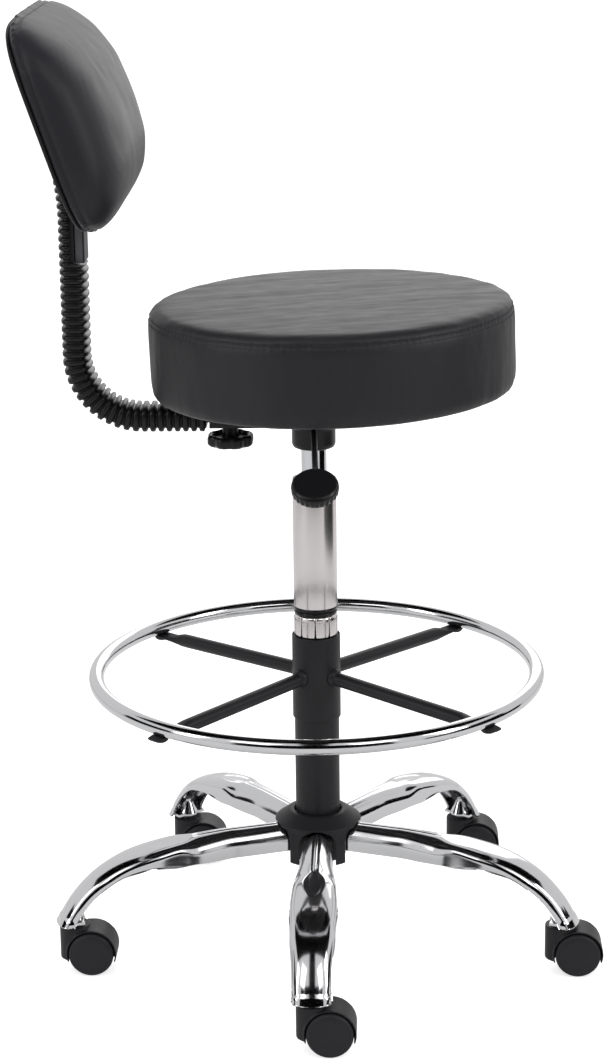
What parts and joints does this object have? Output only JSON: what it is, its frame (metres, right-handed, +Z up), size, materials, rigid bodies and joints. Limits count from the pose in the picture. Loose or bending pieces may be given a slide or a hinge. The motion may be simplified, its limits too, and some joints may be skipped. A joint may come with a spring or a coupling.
{
  "type": "drafting chair",
  "caption": "Tall drafting chair with round padded seat, leaning backrest on a bellows-covered bar, foot ring on a column and a five-arm chrome base on twin-wheel casters.",
  "frame": {"origin": "on the floor, on the axis of the column", "axes": "+Z up, the chair faces -Y, +X is the sitter's left"},
  "size_m": [0.5617, 0.6224, 1.0543],
  "materials": {
    "chrome": "polished chrome plate",
    "hub_plastic": "fine satin grain",
    "caster_plastic": "satin nylon",
    "steel": "bright turned steel",
    "black_metal": "satin black powder coat",
    "rubber": "smooth",
    "bright_steel": "satin chrome plate",
    "black_plastic": "semi-gloss moulded",
    "bellows_plastic": "satin flexible moulding",
    "vinyl": "soft grained upholstery vinyl",
    "back_vinyl": "smooth upholstery vinyl",
    "plywood": "dark-stained plywood",
    "shell_plastic": "fine grain"
  },
  "bodies": {
    "base": {"leg_1": "chrome", "leg_2": "chrome", "leg_3": "chrome", "leg_4": "chrome", "leg_5": "chrome", "hub_boss": "black_metal", "hub_cover": "hub_plastic", "stem_sockets": "bright_steel", "caster_stems": "steel", "column_tube": "black_metal", "core_tube": "black_metal", "collet": "bright_steel", "o_rings": "rubber", "upper_tube": "bright_steel", "guide_bush": "black_plastic", "thrust_bearing": "steel"},
    "caster_1": {"hood_1": "caster_plastic", "axle_1": "steel"},
    "roller_left_1": {"wheel_left_1": "caster_plastic"},
    "roller_right_1": {"wheel_right_1": "caster_plastic"},
    "caster_2": {"hood_2": "caster_plastic", "axle_2": "steel"},
    "roller_left_2": {"wheel_left_2": "caster_plastic"},
    "roller_right_2": {"wheel_right_2": "caster_plastic"},
    "caster_3": {"hood_3": "caster_plastic", "axle_3": "steel"},
    "roller_left_3": {"wheel_left_3": "caster_plastic"},
    "roller_right_3": {"wheel_right_3": "caster_plastic"},
    "caster_4": {"hood_4": "caster_plastic", "axle_4": "steel"},
    "roller_left_4": {"wheel_left_4": "caster_plastic"},
    "roller_right_4": {"wheel_right_4": "caster_plastic"},
    "caster_5": {"hood_5": "caster_plastic", "axle_5": "steel"},
    "roller_left_5": {"wheel_left_5": "caster_plastic"},
    "roller_right_5": {"wheel_right_5": "caster_plastic"},
    "lift": {"lift_rod": "steel", "rod_clip": "steel"},
    "seat": {"lift_cylinder": "bright_steel", "taper_collar": "black_plastic", "seat_pan": "black_metal", "seat_plate": "black_metal", "seat_screws": "steel", "seat_board": "plywood", "seat_cushion": "vinyl"},
    "lever": {"lever_rod": "black_metal", "lever_paddle": "black_plastic"},
    "valve": {"valve_pin": "steel"},
    "knob": {"depth_knob": "black_plastic"},
    "bar": {"back_bar": "black_metal", "bellows": "bellows_plastic"},
    "back": {"back_bracket": "black_metal", "back_shell": "shell_plastic", "back_board": "plywood", "back_cushion": "back_vinyl"},
    "ring_clamp": {"ring_liner": "black_plastic"},
    "ring": {"ring_sleeve": "black_metal", "spokes": "black_metal", "foot_ring": "chrome", "spoke_screws": "steel"}
  },
  "joints": [
    {"name": "caster_swivel_1", "type": "hinge", "parent": "base", "child": "caster_1", "pos_m": [-0.2845, 0, 0.05], "axis": [0, 0, 1], "continuous": true},
    {"name": "wheel_left_1_spin", "type": "hinge", "parent": "caster_1", "child": "roller_left_1", "pos_m": [-0.2845, -0.019, 0.025], "axis": [1, 0, 0], "continuous": true},
    {"name": "wheel_right_1_spin", "type": "hinge", "parent": "caster_1", "child": "roller_right_1", "pos_m": [-0.2845, -0.019, 0.025], "axis": [1, 0, 0], "continuous": true},
    {"name": "caster_swivel_2", "type": "hinge", "parent": "base", "child": "caster_2", "pos_m": [-0.08791, -0.27058, 0.05], "axis": [0, 0, 1], "continuous": true},
    {"name": "wheel_left_2_spin", "type": "hinge", "parent": "caster_2", "child": "roller_left_2", "pos_m": [-0.08791, -0.28958, 0.025], "axis": [1, 0, 0], "continuous": true},
    {"name": "wheel_right_2_spin", "type": "hinge", "parent": "caster_2", "child": "roller_right_2", "pos_m": [-0.08791, -0.28958, 0.025], "axis": [1, 0, 0], "continuous": true},
    {"name": "caster_swivel_3", "type": "hinge", "parent": "base", "child": "caster_3", "pos_m": [0.23017, -0.16723, 0.05], "axis": [0, 0, 1], "continuous": true},
    {"name": "wheel_left_3_spin", "type": "hinge", "parent": "caster_3", "child": "roller_left_3", "pos_m": [0.23017, -0.18623, 0.025], "axis": [1, 0, 0], "continuous": true},
    {"name": "wheel_right_3_spin", "type": "hinge", "parent": "caster_3", "child": "roller_right_3", "pos_m": [0.23017, -0.18623, 0.025], "axis": [1, 0, 0], "continuous": true},
    {"name": "caster_swivel_4", "type": "hinge", "parent": "base", "child": "caster_4", "pos_m": [0.23017, 0.16723, 0.05], "axis": [0, 0, 1], "continuous": true},
    {"name": "wheel_left_4_spin", "type": "hinge", "parent": "caster_4", "child": "roller_left_4", "pos_m": [0.23017, 0.14822, 0.025], "axis": [1, 0, 0], "continuous": true},
    {"name": "wheel_right_4_spin", "type": "hinge", "parent": "caster_4", "child": "roller_right_4", "pos_m": [0.23017, 0.14822, 0.025], "axis": [1, 0, 0], "continuous": true},
    {"name": "caster_swivel_5", "type": "hinge", "parent": "base", "child": "caster_5", "pos_m": [-0.08791, 0.27058, 0.05], "axis": [0, 0, 1], "continuous": true},
    {"name": "wheel_left_5_spin", "type": "hinge", "parent": "caster_5", "child": "roller_left_5", "pos_m": [-0.08791, 0.25158, 0.025], "axis": [1, 0, 0], "continuous": true},
    {"name": "wheel_right_5_spin", "type": "hinge", "parent": "caster_5", "child": "roller_right_5", "pos_m": [-0.08791, 0.25158, 0.025], "axis": [1, 0, 0], "continuous": true},
    {"name": "seat_swivel", "type": "hinge", "parent": "base", "child": "lift", "pos_m": [0, 0, 0.11], "axis": [0, 0, 1], "continuous": true},
    {"name": "seat_height", "type": "slide", "parent": "lift", "child": "seat", "axis": [0, 0, 1], "range_m": [-0.03, 0.2]},
    {"name": "height_lever", "type": "hinge", "parent": "seat", "child": "lever", "pos_m": [-0.021, 0, 0.631], "axis": [0, 1, 0], "range_deg": [0, 5], "stiffness_Nm_per_rad": 3, "springref_deg": -5.73},
    {"name": "valve_press", "type": "slide", "parent": "seat", "child": "valve", "axis": [0, 0, -1], "range_m": [0, 0.0025]},
    {"name": "knob_turn", "type": "hinge", "parent": "seat", "child": "knob", "pos_m": [0, 0.091, 0.59], "axis": [0, 0, 1], "range_deg": [-540, 0]},
    {"name": "back_depth", "type": "slide", "parent": "seat", "child": "bar", "axis": [0, 1, 0], "range_m": [0, 0.045]},
    {"name": "back_height", "type": "slide", "parent": "bar", "child": "back", "axis": [0, 0.3206, 0.9472], "range_m": [0, 0.05]},
    {"name": "ring_height", "type": "slide", "parent": "base", "child": "ring_clamp", "axis": [0, 0, 1], "range_m": [-0.09, 0]},
    {"name": "ring_lock", "type": "hinge", "parent": "ring_clamp", "child": "ring", "pos_m": [0, 0, 0.323], "axis": [0, 0, 1], "range_deg": [0, 90]}
  ],
  "couplings": [
    {"joint": "valve_press", "follows": "height_lever", "m_per_rad": 0.024}
  ]
}
